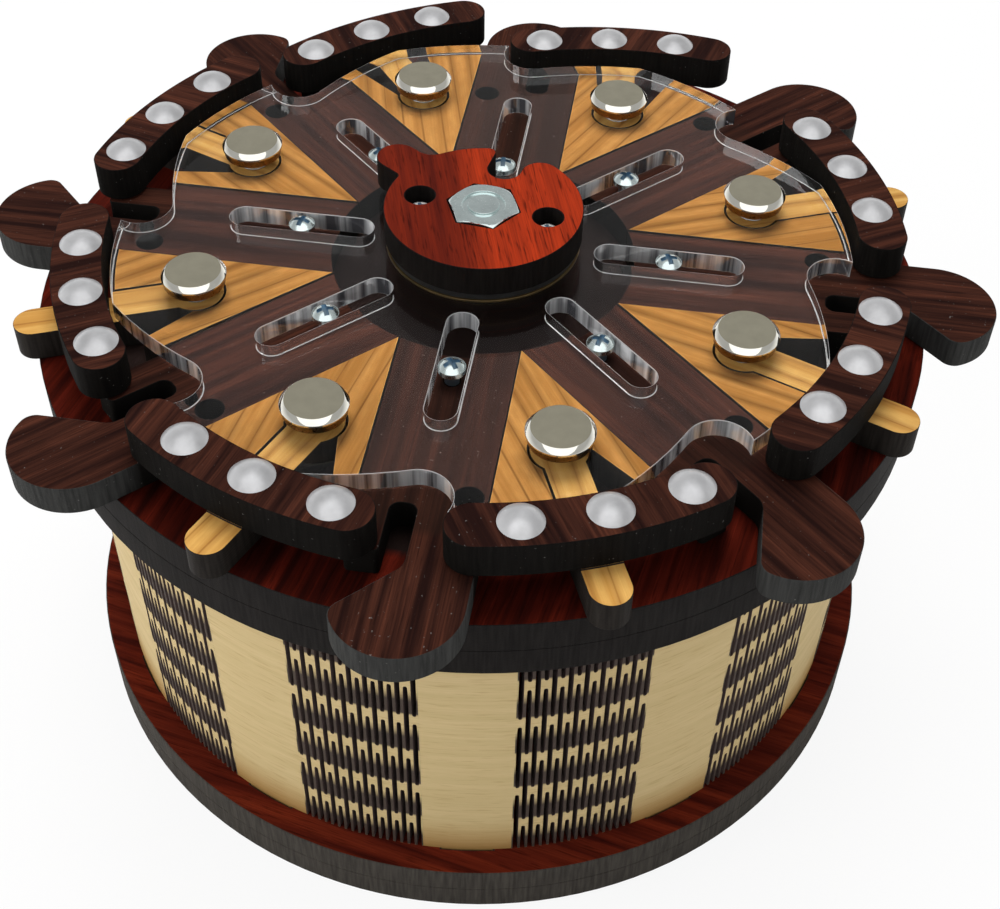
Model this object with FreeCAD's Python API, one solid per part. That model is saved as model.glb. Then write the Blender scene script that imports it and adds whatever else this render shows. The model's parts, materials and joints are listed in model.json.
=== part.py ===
import FreeCAD, Part
import math
import os

# Wooden puzzle box: a drum of bent plywood between round plates, with a lock of eight
# push-pull sliders, eight swinging levers and a turning cam on its lid.
# Millimetres, +Z up, origin at the centre of the underside, front towards -Y.

# Layout round the axis
SECTORS = 8
SECTOR = 360.0 / SECTORS
FIRST_SLIDER = -90.0
FIRST_LEVER = FIRST_SLIDER + SECTOR / 2

# State in the photograph: the slider that is pushed in, the levers that are swung, the cam's turn
PUSHED_IN = 10.4
SLIDER_PUSHED = {4: PUSHED_IN}
LEVER_SWUNG = {3: 27.0, 4: 14.5}
CAM_REST = -6.3

# Round plates of the box and the lid
PLATE_R = 91.5
BASE_SHEET = 6.5
RIM_SHEET = 6.5
LID_SHEET = 7.2

# Drum wall, set in from the edge of the plates
DRUM_INSET = 5.8
DRUM_R = PLATE_R - DRUM_INSET
DRUM_WALL = 4.0
RIM_LEDGE = 11.7
RIM_BORE_R = DRUM_R - DRUM_WALL - RIM_LEDGE
DRUM_HEIGHT = 69.5
PANELS = 12
HINGE_ANGLE = 17.6
FIRST_HINGE = -67.9
HINGE_COLUMNS = 17
HINGE_SLOT = 1.1
BRIDGE = 2.6
BRIDGE_ROWS = 3
BRIDGE_PITCH = 23.7
FIRST_BRIDGE = 9.9
TAB_ANGLE = 7.2
TAB_FIT = 0.15

# Fits of holes, pockets and running pieces
HOLE_FIT = 0.05
HEX_FIT = 0.2
SLIDE_GAP = 0.2
SIDE_GAP = 0.15

# Layer of sliders, wedges and fingers on the lid
LAYER = 6.8
SLIDER_THICK = 6.3
FINGER_THICK = 6.5

# Sliders, measured outwards along their own centre line
SLIDER_WIDTH = 23.7
SLIDER_IN_R = 31.2
GRIP_REACH = 1.3
GRIP_CENTRE = PLATE_R + GRIP_REACH
NOTCH_LENGTH = 14.3
NOTCH_INSET = 6.7
NOTCH_END = PLATE_R - NOTCH_INSET
NOTCH_START = NOTCH_END - NOTCH_LENGTH
NOTCH_FLOOR = 0.4
NOTCH_WIDTH = 5.0
HOOK_INSET = 9.2
HOOK_END = PLATE_R - HOOK_INSET
HOOK_TIP_R = 1.0
NOTCH_CORNER_R = 2.0
NOTCH_NECK_R = 4.0
GRIP_CORNER_R = 3.0
DETENT_R = 2.7
DETENT_SETBACK = 1.8
DETENT_AT = NOTCH_START - DETENT_SETBACK
DETENT_SIDE = 8.2

# Slider screws
SCREW_AT = 38.2
SCREW_HEAD_R = 2.7
SCREW_HEAD = 2.2
SCREW_STAND = 2.8
SCREW_HEAD_CHAMFER = 0.6
SCREW_R = 1.45

# Clear cover
COVER_INSET = 16.0
COVER_R = PLATE_R - COVER_INSET
COVER_SHEET = 4.0
SLIDER_TRAVEL = 12.0
SLOT_END_GAP = 0.5
COVER_SLOT_WIDTH = 6.2
COVER_SLOT_IN = SCREW_AT - SLIDER_TRAVEL - SCREW_HEAD_R - SLOT_END_GAP
COVER_SLOT_OUT = SCREW_AT + SLIDER_TRAVEL + SCREW_HEAD_R + SLOT_END_GAP
COVER_SWING_GAP = 1.3

# Levers
PIVOT_INSET = 32.5
PIVOT_R = PLATE_R - PIVOT_INSET
POST_R = 3.0
LEVER_SWING = 27.0
FINGER_WIDTH = 7.8
FINGER_REACH = 3.6
FINGER_TIP_R = PLATE_R + FINGER_REACH
FINGER_EYE_R = 5.5
FINGER_PAD = 0.3
SWING_GAP = 0.4
SWING_SPARE = 3.0
WEDGE_INSET = 0.5
WEDGE_R = COVER_R - WEDGE_INSET
ARC_INSET = 5.0
ARC_WIDTH = 10.1
ARC_OUT_R = PLATE_R - ARC_INSET
ARC_IN_R = ARC_OUT_R - ARC_WIDTH
ARC_HALF_ANGLE = 18.4
ARC_SHEET = 7.5
RIVET_SETBACK = 5.6
RIVET_CIRCLE = ARC_OUT_R - RIVET_SETBACK
RIVET_ANGLES = (-9.1, 1.9, 12.8)
RIVET_HEAD_R = 4.2
RIVET_DOME = 1.9
RIVET_SKIRT = 1.1
RIVET_SHOULDER_R = 3.4
RIVET_CROWN_R = 1.6
RIVET_R = 2.0

# Disc caps over the pivots
CAP_R = 6.5
CAP_HEIGHT = 3.5
CAP_TOP_R = 5.5
CAP_SLOPE = 1.3
CAP_FOOT_R = 5.8
CAP_FOOT = 1.1

# Cam and the discs under it, angles counted from the line through its two holes
CAM_R = 20.2
CAM_SHEET = 6.5
CAM_LOBE_ANGLE = 151.7
CAM_LOBE_CIRCLE = 24.7
CAM_LOBE_R = 4.4
CAM_LOBE_LEAD_R = 4.0
CAM_LOBE_BACK_R = 1.2
CAM_NOTCH_ANGLE = 86.3
CAM_NOTCH_WIDTH = 7.0
CAM_NOTCH_IN = 10.0
CAM_NOTCH_LEAD_R = 4.0
CAM_NOTCH_BACK_R = 1.5
CAM_HOLE_CIRCLE = 13.4
CAM_HOLE_R = 3.15
CAM_SCREW_R = 1.2
CAM_SCREW_HEAD_R = 2.3
CAM_HOLE_DEPTH = 4.6
CAM_SCREW_HEAD = 2.0
CAM_SCREW_DEPTH = 1.2
CAM_SPACER_R = 19.6
CAM_SPACER = 1.7
CAM_WASHER_R = 19.9
CAM_WASHER = 0.5
CAM_FLOAT = 0.1

# Centre bolt, its bush and the locking bar under the lid
BOLT_R = 4.0
BOLT_LENGTH = 50.0
HEX_FLATS = 13.0
HEX_HEIGHT = 5.3
HEX_POCKET = 4.85
HEX_RING_R = 4.4
HEX_LAND_R = 3.2
HEX_RING_DEPTH = 0.5
BUSH_R = 9.0
BUSH_FLANGE_R = 13.0
BUSH_FLANGE = 3.0
NUT_HEIGHT = 6.5
NUT_WASHER = 1.6
NUT_WASHER_R = 8.0
BAR_HOLD = 5.0
BAR_REACH = RIM_BORE_R + BAR_HOLD
BAR_WIDTH = 24.0
BAR_THICK = 6.0
BAR_DROP = 0.5
BAR_BUSH_GAP = 0.1
BAR_SIDE_GAP = 1.0
BAR_END_GAP = 2.0

# Levels, from the table upwards
BASE_TOP_Z = 2 * BASE_SHEET
RIM_Z = BASE_TOP_Z + DRUM_HEIGHT
LID_Z = RIM_Z + RIM_SHEET
LAYER_Z = LID_Z + LID_SHEET
RUN_Z = LAYER_Z + SLIDE_GAP
SLIDER_TOP_Z = RUN_Z + SLIDER_THICK
FINGER_TOP_Z = RUN_Z + FINGER_THICK
ARC_Z = FINGER_TOP_Z + FINGER_PAD
ARC_TOP_Z = ARC_Z + ARC_SHEET
COVER_Z = LAYER_Z + LAYER
COVER_TOP_Z = COVER_Z + COVER_SHEET
CAM_WASHER_Z = COVER_TOP_Z + CAM_FLOAT
CAM_SPACER_Z = CAM_WASHER_Z + CAM_WASHER
CAM_Z = CAM_SPACER_Z + CAM_SPACER
BOLT_HEAD_Z = CAM_Z + CAM_SHEET - HEX_POCKET
CAM_HOLE_Z = CAM_Z + CAM_SHEET - CAM_HOLE_DEPTH
BAR_Z = RIM_Z - BAR_DROP - BAR_THICK
NUT_WASHER_Z = BAR_Z - NUT_WASHER
NUT_Z = NUT_WASHER_Z - NUT_HEIGHT

SLIDER_HALF = SLIDER_WIDTH / 2
BEYOND = 1.0
ORIGIN = FreeCAD.Vector(0, 0, 0)
UP = FreeCAD.Vector(0, 0, 1)


# Shapes that several pieces use

def at(x, y, z=0.0):
    return FreeCAD.Vector(x, y, z)


def on_circle(radius, angle):
    turn = math.radians(angle)
    return at(radius * math.cos(turn), radius * math.sin(turn))


def turned(shape, angle, centre=ORIGIN):
    copy = shape.copy()
    copy.rotate(centre, UP, angle)
    return copy


def rod(radius, z, height, centre=ORIGIN):
    return Part.makeCylinder(radius, height, at(centre.x, centre.y, z))


def block(x0, x1, y0, y1, z, height):
    return Part.makeBox(x1 - x0, y1 - y0, height, at(x0, y0, z))


def prism(wire, z, height):
    face = Part.Face(wire)
    face.translate(at(0, 0, z))
    return face.extrude(at(0, 0, height))


def cone(radius, top_radius, z, height, centre):
    return Part.makeCone(radius, top_radius, height, at(centre.x, centre.y, z))


def chamfered_disc(radius, z, straight, chamfer, centre):
    return rod(radius, z, straight, centre).fuse(cone(radius, radius - chamfer, z + straight, chamfer, centre))


def polygon(points, z, height):
    return prism(Part.makePolygon(points + points[:1]), z, height)


def hexagon(flats, z, height):
    corner_r = flats / math.sqrt(3)
    return polygon([on_circle(corner_r, 60 * n) for n in range(6)], z, height)


def slot(x0, x1, width, z, height):
    """A round-ended slot whose ends reach x0 and x1 along the X axis."""
    radius = width / 2
    body = block(x0 + radius, x1 - radius, -radius, radius, z, height)
    ends = [rod(radius, z, height, at(x, 0)) for x in (x0 + radius, x1 - radius)]
    return body.fuse(ends).removeSplitter()


def ring_sector(inner, outer, half_angle, z, height):
    """A piece of a ring, centred on the X axis."""
    whole = Part.makeCylinder(outer, height, at(0, 0, z), UP, 2 * half_angle)
    bore = Part.makeCylinder(inner, height, at(0, 0, z), UP, 2 * half_angle)
    return turned(whole.cut(bore), -half_angle)


def is_upright(edge):
    box = edge.BoundBox
    return box.XLength < 0.001 and box.YLength < 0.001


def round_upright(shape, point, radius):
    """Round the upright edge that stands nearest to a point of the plan."""
    upright = [edge for edge in shape.Edges if is_upright(edge)]
    nearest = min(upright, key=lambda edge: plan_distance(edge, point))
    return shape.makeFillet(radius, [nearest])


def plan_distance(edge, point):
    corner = edge.Vertexes[0].Point
    return math.hypot(corner.x - point.x, corner.y - point.y)


def slider_angle(index):
    return FIRST_SLIDER + SECTOR * index


def lever_angle(index):
    return FIRST_LEVER + SECTOR * index


def placed_slider(shape, index):
    copy = shape.copy()
    copy.translate(at(-SLIDER_PUSHED.get(index, 0.0), 0))
    return turned(copy, slider_angle(index))


def placed_lever(shape, index):
    swung = turned(shape, LEVER_SWUNG.get(index, 0.0), at(PIVOT_R, 0))
    return turned(swung, lever_angle(index))


# Box: two base discs, the drum and the rim that it carries

def base_lower_disc():
    return rod(PLATE_R, 0, BASE_SHEET)


def stave_tab(fit):
    half_angle = TAB_ANGLE / 2 + math.degrees(fit / DRUM_R)
    return ring_sector(DRUM_R - DRUM_WALL - fit, DRUM_R + fit, half_angle, BASE_SHEET, BASE_SHEET)


def stave_angles():
    step = 360.0 / PANELS
    return [FIRST_HINGE + step * (n + 0.5) for n in range(PANELS)]


def base_upper_disc():
    disc = rod(PLATE_R, BASE_SHEET, BASE_SHEET)
    return disc.cut([turned(stave_tab(TAB_FIT), angle) for angle in stave_angles()])


def drum_staves():
    half_angle = (360.0 / PANELS - HINGE_ANGLE) / 2
    stave = ring_sector(DRUM_R - DRUM_WALL, DRUM_R, half_angle, BASE_TOP_Z, DRUM_HEIGHT)
    stave = stave.fuse(stave_tab(0.0)).removeSplitter()
    return Part.makeCompound([turned(stave, angle) for angle in stave_angles()])


def bridge_heights(column):
    """Middles of the bridges that cross one column of slots, staggered from column to column."""
    if column % 2:
        return [FIRST_BRIDGE + BRIDGE_PITCH * n for n in range(BRIDGE_ROWS)]
    return [FIRST_BRIDGE + BRIDGE_PITCH * (n + 0.5) for n in range(BRIDGE_ROWS - 1)]


def column_slots(column):
    """The slots of one column, which run from bridge to bridge and out at both edges."""
    lows = [-BEYOND] + [height + BRIDGE / 2 for height in bridge_heights(column)]
    highs = [height - BRIDGE / 2 for height in bridge_heights(column)] + [DRUM_HEIGHT + BEYOND]
    inner = DRUM_R - DRUM_WALL - BEYOND
    half = HINGE_SLOT / 2
    slots = []
    for low, high in zip(lows, highs):
        slots.append(block(inner, DRUM_R + BEYOND, -half, half, BASE_TOP_Z + low, high - low))
    return slots


def drum_hinges():
    panel = ring_sector(DRUM_R - DRUM_WALL, DRUM_R, HINGE_ANGLE / 2, BASE_TOP_Z, DRUM_HEIGHT)
    pitch = HINGE_ANGLE / HINGE_COLUMNS
    cutters = []
    for column in range(HINGE_COLUMNS):
        angle = pitch * (column + 0.5) - HINGE_ANGLE / 2
        cutters += [turned(piece, angle) for piece in column_slots(column)]
    panel = panel.cut(cutters)
    step = 360.0 / PANELS
    return Part.makeCompound([turned(panel, FIRST_HINGE + step * n) for n in range(PANELS)])


def rim_ring():
    """The ring on the drum, with two notches that let the locking bar through when it lies along X."""
    ring = rod(PLATE_R, RIM_Z, RIM_SHEET).cut(rod(RIM_BORE_R, RIM_Z, RIM_SHEET))
    reach = BAR_REACH + BAR_END_GAP
    half = BAR_WIDTH / 2 + BAR_SIDE_GAP
    passage = block(-reach, reach, -half, half, RIM_Z, RIM_SHEET)
    return ring.cut(passage.common(rod(reach, RIM_Z, RIM_SHEET)))


# Lid: plate, fixed wedges, clear cover, pivots and the bush of the centre bolt

def pivot_points():
    return [on_circle(PIVOT_R, lever_angle(n)) for n in range(SECTORS)]


def post_holes(z, height):
    return [rod(POST_R + HOLE_FIT, z, height, point) for point in pivot_points()]


def lid_plate():
    plate = rod(PLATE_R, LID_Z, LID_SHEET)
    return plate.cut(post_holes(LID_Z, LID_SHEET) + [rod(BUSH_R + HOLE_FIT, LID_Z, LID_SHEET)])


def finger_outline(grow, z, height):
    """A finger with its eye round the pivot, grown by a clearance, pointing out along X."""
    half = FINGER_WIDTH / 2 + grow
    tip = at(FINGER_TIP_R - FINGER_WIDTH / 2, 0)
    bar = block(PIVOT_R, tip.x, -half, half, z, height)
    eye = rod(FINGER_EYE_R + grow, z, height, at(PIVOT_R, 0))
    return bar.fuse([eye, rod(half, z, height, tip)]).removeSplitter()


def swing_room():
    """The room that a finger sweeps, from its rest to a little beyond its full swing."""
    pivot = at(PIVOT_R, 0)
    angle = LEVER_SWING + SWING_SPARE
    rest = finger_outline(SWING_GAP, LAYER_Z, LAYER)
    fan = Part.makeCylinder(FINGER_TIP_R - PIVOT_R, LAYER, at(PIVOT_R, 0, LAYER_Z), UP, angle)
    return fan.fuse([rest, turned(rest, angle, pivot)]).removeSplitter()


def maple_wedges():
    """The fixed wedges between neighbouring sliders, each with a fan-shaped gap for its finger."""
    half = SECTOR / 2
    apex = at((SLIDER_HALF + SIDE_GAP) / math.sin(math.radians(half)), 0)
    span = 2 * WEDGE_R
    wedge = polygon([apex, apex + on_circle(span, -half), apex + on_circle(span, half)], LAYER_Z, LAYER)
    wedge = wedge.common(rod(WEDGE_R, LAYER_Z, LAYER)).cut(swing_room())
    return Part.makeCompound([turned(wedge, lever_angle(n)) for n in range(SECTORS)])


def arc_outline(grow, z, height):
    """A round-ended block along the rim, centred on the X axis and grown by a clearance."""
    middle_r = (ARC_IN_R + ARC_OUT_R) / 2
    end_r = (ARC_OUT_R - ARC_IN_R) / 2
    half = ARC_HALF_ANGLE - math.degrees(math.asin(end_r / middle_r))
    inner = ARC_IN_R - grow
    outer = ARC_OUT_R + grow
    left_tip = on_circle(middle_r, half) + on_circle(end_r + grow, 90 + half)
    right_tip = at(left_tip.x, -left_tip.y)
    arcs = [
        Part.Arc(on_circle(outer, -half), at(outer, 0), on_circle(outer, half)),
        Part.Arc(on_circle(outer, half), left_tip, on_circle(inner, half)),
        Part.Arc(on_circle(inner, half), at(inner, 0), on_circle(inner, -half)),
        Part.Arc(on_circle(inner, -half), right_tip, on_circle(outer, -half)),
    ]
    return prism(Part.Wire([arc.toShape() for arc in arcs]), z, height)


def acrylic_cover():
    """The clear disc, with a slot over every slider and a bay for every swung arc block."""
    cover = rod(COVER_R, COVER_Z, COVER_SHEET)
    groove = slot(COVER_SLOT_IN, COVER_SLOT_OUT, COVER_SLOT_WIDTH, COVER_Z, COVER_SHEET)
    bay = turned(arc_outline(COVER_SWING_GAP, COVER_Z, COVER_SHEET), LEVER_SWING, at(PIVOT_R, 0))
    cutters = post_holes(COVER_Z, COVER_SHEET) + [rod(BUSH_R + HOLE_FIT, COVER_Z, COVER_SHEET)]
    for index in range(SECTORS):
        cutters.append(turned(groove, slider_angle(index)))
        cutters.append(turned(bay, lever_angle(index)))
    return cover.cut(cutters)


def pivot_posts():
    height = COVER_TOP_Z - LID_Z
    return Part.makeCompound([rod(POST_R, LID_Z, height, point) for point in pivot_points()])


def disc_cap(centre):
    """A thick disc whose upper and lower edges are both turned down to a slope."""
    slope_z = COVER_TOP_Z + CAP_HEIGHT - CAP_SLOPE
    foot = cone(CAP_FOOT_R, CAP_R, COVER_TOP_Z, CAP_FOOT, centre)
    middle = rod(CAP_R, COVER_TOP_Z + CAP_FOOT, CAP_HEIGHT - CAP_FOOT - CAP_SLOPE, centre)
    return foot.fuse([middle, cone(CAP_R, CAP_TOP_R, slope_z, CAP_SLOPE, centre)])


def disc_caps():
    return Part.makeCompound([disc_cap(point) for point in pivot_points()])


def hub_bush():
    foot = BAR_Z + BAR_THICK + BAR_BUSH_GAP
    height = COVER_TOP_Z - foot
    flange = rod(BUSH_FLANGE_R, LID_Z - BUSH_FLANGE, BUSH_FLANGE)
    return rod(BUSH_R, foot, height).fuse(flange).cut(rod(BOLT_R + HOLE_FIT, foot, height))


# Sliders

def grip_corner():
    """Where the slanting side of the notch meets the round grip."""
    slant = NOTCH_END - NOTCH_FLOOR - GRIP_CENTRE
    along = (slant + math.sqrt(2 * SLIDER_HALF ** 2 - slant ** 2)) / 2
    return at(GRIP_CENTRE + along, slant - along)


def slider():
    """A bar with a round grip. Its notch runs in behind a hook, which the arc block hides for the most part."""
    reach = 2 * SLIDER_HALF
    bar = block(0, GRIP_CENTRE, -SLIDER_HALF, SLIDER_HALF, RUN_Z, SLIDER_THICK)
    grip = rod(SLIDER_HALF, RUN_Z, SLIDER_THICK, at(GRIP_CENTRE, 0))
    hook = -NOTCH_FLOOR - NOTCH_WIDTH
    notch = polygon([
        at(NOTCH_START, -NOTCH_FLOOR),
        at(NOTCH_START, hook),
        at(HOOK_END, hook),
        at(HOOK_END, -NOTCH_FLOOR - reach),
        at(NOTCH_END + reach, -NOTCH_FLOOR - reach),
        at(NOTCH_END, -NOTCH_FLOOR),
    ], RUN_Z, SLIDER_THICK)
    holes = [
        rod(SLIDER_IN_R, RUN_Z, SLIDER_THICK),
        rod(SCREW_R + HOLE_FIT, RUN_Z, SLIDER_THICK, at(SCREW_AT, 0)),
        rod(DETENT_R, RUN_Z, SLIDER_THICK, at(DETENT_AT, DETENT_SIDE)),
    ]
    body = bar.fuse(grip).removeSplitter().cut(holes + [notch])
    for corner in (at(NOTCH_START, -NOTCH_FLOOR), at(NOTCH_START, hook)):
        body = round_upright(body, corner, NOTCH_CORNER_R)
    for corner in (at(HOOK_END, hook), at(HOOK_END, -SLIDER_HALF)):
        body = round_upright(body, corner, HOOK_TIP_R)
    body = round_upright(body, at(NOTCH_END, -NOTCH_FLOOR), NOTCH_NECK_R)
    return round_upright(body, grip_corner(), GRIP_CORNER_R)


def slider_screw():
    """A pan-head screw, not driven home: its head stands up into the slot of the cover."""
    centre = at(SCREW_AT, 0)
    straight = SCREW_HEAD - SCREW_HEAD_CHAMFER
    head = chamfered_disc(SCREW_HEAD_R, SLIDER_TOP_Z + SCREW_STAND, straight, SCREW_HEAD_CHAMFER, centre)
    return head.fuse(rod(SCREW_R, RUN_Z, SLIDER_THICK + SCREW_STAND, centre))


# Levers

def finger():
    """A finger on its pivot, with a thin pad that lifts the arc block clear of the wedges."""
    bore = rod(POST_R + HOLE_FIT, RUN_Z, FINGER_THICK, at(PIVOT_R, 0))
    pad = finger_outline(0.0, FINGER_TOP_Z, FINGER_PAD).common(arc_outline(0.0, FINGER_TOP_Z, FINGER_PAD))
    return finger_outline(0.0, RUN_Z, FINGER_THICK).cut(bore).fuse(pad).removeSplitter()


def rivet_points():
    return [on_circle(RIVET_CIRCLE, angle) for angle in RIVET_ANGLES]


def arc_block():
    holes = [rod(RIVET_R + HOLE_FIT, ARC_Z, ARC_SHEET, point) for point in rivet_points()]
    return arc_outline(0.0, ARC_Z, ARC_SHEET).cut(holes)


def rivets():
    pieces = []
    for point in rivet_points():
        skirt = cone(RIVET_HEAD_R, RIVET_SHOULDER_R, ARC_TOP_Z, RIVET_SKIRT, point)
        crown = cone(RIVET_SHOULDER_R, RIVET_CROWN_R, ARC_TOP_Z + RIVET_SKIRT, RIVET_DOME - RIVET_SKIRT, point)
        pieces.append(skirt.fuse([crown, rod(RIVET_R, ARC_Z, ARC_SHEET, point)]))
    return Part.makeCompound(pieces)


# Cam, bolt and locking bar

def cam_holes():
    return [on_circle(CAM_HOLE_CIRCLE, angle) for angle in (0, 180)]


def cam_plate():
    lobe = slot(0, CAM_LOBE_CIRCLE + CAM_LOBE_R, 2 * CAM_LOBE_R, CAM_Z, CAM_SHEET)
    body = rod(CAM_R, CAM_Z, CAM_SHEET).fuse(turned(lobe, CAM_LOBE_ANGLE)).removeSplitter()
    foot = math.degrees(math.asin(CAM_LOBE_R / CAM_R))
    body = round_upright(body, on_circle(CAM_R, CAM_LOBE_ANGLE - foot), CAM_LOBE_LEAD_R)
    body = round_upright(body, on_circle(CAM_R, CAM_LOBE_ANGLE + foot), CAM_LOBE_BACK_R)
    mouth = slot(CAM_NOTCH_IN, 2 * CAM_R, CAM_NOTCH_WIDTH, CAM_Z, CAM_SHEET)
    body = body.cut(turned(mouth, CAM_NOTCH_ANGLE))
    lip = math.degrees(math.asin(CAM_NOTCH_WIDTH / 2 / CAM_R))
    body = round_upright(body, on_circle(CAM_R, CAM_NOTCH_ANGLE - lip), CAM_NOTCH_LEAD_R)
    body = round_upright(body, on_circle(CAM_R, CAM_NOTCH_ANGLE + lip), CAM_NOTCH_BACK_R)
    cutters = [rod(CAM_HOLE_R, CAM_HOLE_Z, CAM_HOLE_DEPTH, point) for point in cam_holes()]
    cutters += [rod(CAM_SCREW_R + HOLE_FIT, CAM_Z, CAM_SHEET, point) for point in cam_holes()]
    cutters.append(rod(BOLT_R + HOLE_FIT, CAM_Z, CAM_SHEET))
    cutters.append(hexagon(HEX_FLATS + 2 * HEX_FIT, BOLT_HEAD_Z, HEX_POCKET))
    return turned(body.cut(cutters), CAM_REST)


def cam_spacer():
    disc = rod(CAM_SPACER_R, CAM_SPACER_Z, CAM_SPACER)
    cutters = [rod(BOLT_R + HOLE_FIT, CAM_SPACER_Z, CAM_SPACER)]
    for point in cam_holes():
        cutters.append(rod(CAM_SCREW_R + HOLE_FIT, CAM_Z - CAM_SCREW_DEPTH, CAM_SCREW_DEPTH, point))
    return turned(disc.cut(cutters), CAM_REST)


def brass_washer():
    return rod(CAM_WASHER_R, CAM_WASHER_Z, CAM_WASHER).cut(rod(BOLT_R + HOLE_FIT, CAM_WASHER_Z, CAM_WASHER))


def cam_screws():
    """The screws that hold the spacer to the cam, with their heads sunk in the cam's two holes."""
    foot = CAM_Z - CAM_SCREW_DEPTH
    screws = []
    for point in cam_holes():
        head = rod(CAM_SCREW_HEAD_R, CAM_HOLE_Z, CAM_SCREW_HEAD, point)
        screws.append(head.fuse(rod(CAM_SCREW_R, foot, CAM_HOLE_Z - foot, point)))
    return turned(Part.makeCompound(screws), CAM_REST)


def centre_bolt():
    top = BOLT_HEAD_Z + HEX_HEIGHT
    slope = Part.makeCone(HEX_FLATS / 2 + HEX_HEIGHT * math.sqrt(3), HEX_FLATS / 2, HEX_HEIGHT,
                          at(0, 0, BOLT_HEAD_Z))
    head = hexagon(HEX_FLATS, BOLT_HEAD_Z, HEX_HEIGHT).common(slope)
    ring = rod(HEX_RING_R, top - HEX_RING_DEPTH, HEX_RING_DEPTH)
    ring = ring.cut(rod(HEX_LAND_R, top - HEX_RING_DEPTH, HEX_RING_DEPTH))
    shank = rod(BOLT_R, BOLT_HEAD_Z - BOLT_LENGTH, BOLT_LENGTH)
    return turned(head.cut(ring).fuse(shank), CAM_REST)


def lock_bar():
    half = BAR_WIDTH / 2
    bar = block(-BAR_REACH, BAR_REACH, -half, half, BAR_Z, BAR_THICK)
    return bar.common(rod(BAR_REACH, BAR_Z, BAR_THICK)).cut(rod(BOLT_R + HOLE_FIT, BAR_Z, BAR_THICK))


def bar_washer():
    disc = rod(NUT_WASHER_R, NUT_WASHER_Z, NUT_WASHER)
    return disc.cut(rod(BOLT_R + HOLE_FIT, NUT_WASHER_Z, NUT_WASHER))


def bar_nut():
    return hexagon(HEX_FLATS, NUT_Z, NUT_HEIGHT).cut(rod(BOLT_R + HOLE_FIT, NUT_Z, NUT_HEIGHT))


# Every piece by name: single ones, then those that come once for every slider or lever

SINGLE_PIECES = (
    base_lower_disc, base_upper_disc, drum_staves, drum_hinges, rim_ring,
    lid_plate, maple_wedges, acrylic_cover, pivot_posts, disc_caps, hub_bush,
    cam_plate, cam_spacer, brass_washer, cam_screws, centre_bolt, lock_bar, bar_washer, bar_nut,
)
SLIDER_PIECES = (slider, slider_screw)
LEVER_PIECES = (finger, arc_block, rivets)


def all_pieces():
    pieces = {make.__name__: make() for make in SINGLE_PIECES}
    for make in SLIDER_PIECES:
        shape = make()
        for index in range(SECTORS):
            pieces[f"{make.__name__}_{index + 1}"] = placed_slider(shape, index)
    for make in LEVER_PIECES:
        shape = make()
        for index in range(SECTORS):
            pieces[f"{make.__name__}_{index + 1}"] = placed_lever(shape, index)
    return pieces


os.makedirs("parts", exist_ok=True)
for name, shape in all_pieces().items():
    shape.exportStep(f"parts/{name}.step")
    print(f"{name}: {len(shape.Solids)} solids, {shape.Volume:.0f} mm3, valid {shape.isValid()}")
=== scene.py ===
# %% [markdown]
# # Wooden puzzle box
# The CAD model gives the frame of this scene: every piece below sits where its CAD node sits
# and rides on the same body, so the sliders still slide and the levers still swing.
# Lengths are worked out in millimetres and turned into metres when an object is made.

# %% Load the CAD frame
import json
import math

import bpy
from mathutils import Matrix, Vector

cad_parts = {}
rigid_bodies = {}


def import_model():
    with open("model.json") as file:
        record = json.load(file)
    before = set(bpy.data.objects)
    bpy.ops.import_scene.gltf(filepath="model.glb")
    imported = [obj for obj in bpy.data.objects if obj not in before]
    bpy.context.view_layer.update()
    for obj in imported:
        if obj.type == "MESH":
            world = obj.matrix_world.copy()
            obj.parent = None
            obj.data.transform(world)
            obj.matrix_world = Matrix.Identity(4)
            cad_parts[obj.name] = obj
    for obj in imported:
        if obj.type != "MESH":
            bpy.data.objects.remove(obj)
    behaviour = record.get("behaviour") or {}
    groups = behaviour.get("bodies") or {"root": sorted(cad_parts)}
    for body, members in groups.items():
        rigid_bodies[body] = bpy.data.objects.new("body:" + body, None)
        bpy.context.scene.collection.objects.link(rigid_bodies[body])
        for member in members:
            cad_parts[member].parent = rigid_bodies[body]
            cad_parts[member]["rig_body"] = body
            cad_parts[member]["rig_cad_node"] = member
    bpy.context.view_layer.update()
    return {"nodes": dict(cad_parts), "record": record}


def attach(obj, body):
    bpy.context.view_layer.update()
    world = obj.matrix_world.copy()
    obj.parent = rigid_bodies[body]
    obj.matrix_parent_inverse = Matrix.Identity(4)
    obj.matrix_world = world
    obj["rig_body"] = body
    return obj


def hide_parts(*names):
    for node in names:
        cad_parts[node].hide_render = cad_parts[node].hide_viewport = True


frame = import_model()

MM = 0.001
NODES = frame["nodes"]

# %% [markdown]
# The photograph is taken from the front, about 45 degrees above the table, with a normal lens
# from a distance of about 40 cm. The camera stands a little to the right of the middle and is
# rolled by about one degree. Its place and angles are fitted to the plates, caps and grips.

# %% Camera
LENS = 56.3
SENSOR_WIDTH = 36.0
CAMERA_PLACE = (38.28, -253.14, 306.33)
LOOK_DOWN = 45.684
LOOK_LEFT = 7.622
ROLL = 1.218


def rotation(angle, axis="Z"):
    return Matrix.Rotation(math.radians(angle), 4, axis)


camera_data = bpy.data.cameras.new("photo_camera")
camera_data.lens = LENS
camera_data.sensor_width = SENSOR_WIDTH
camera_data.sensor_fit = "HORIZONTAL"
camera = bpy.data.objects.new("photo_camera", camera_data)
bpy.context.scene.collection.objects.link(camera)
stand = Matrix.Translation(Vector(CAMERA_PLACE) * MM)
camera.matrix_world = stand @ rotation(LOOK_LEFT) @ rotation(90.0 - LOOK_DOWN, "X") @ rotation(ROLL)
bpy.context.scene.camera = camera
print("camera at", [round(part, 3) for part in camera.location])

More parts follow.
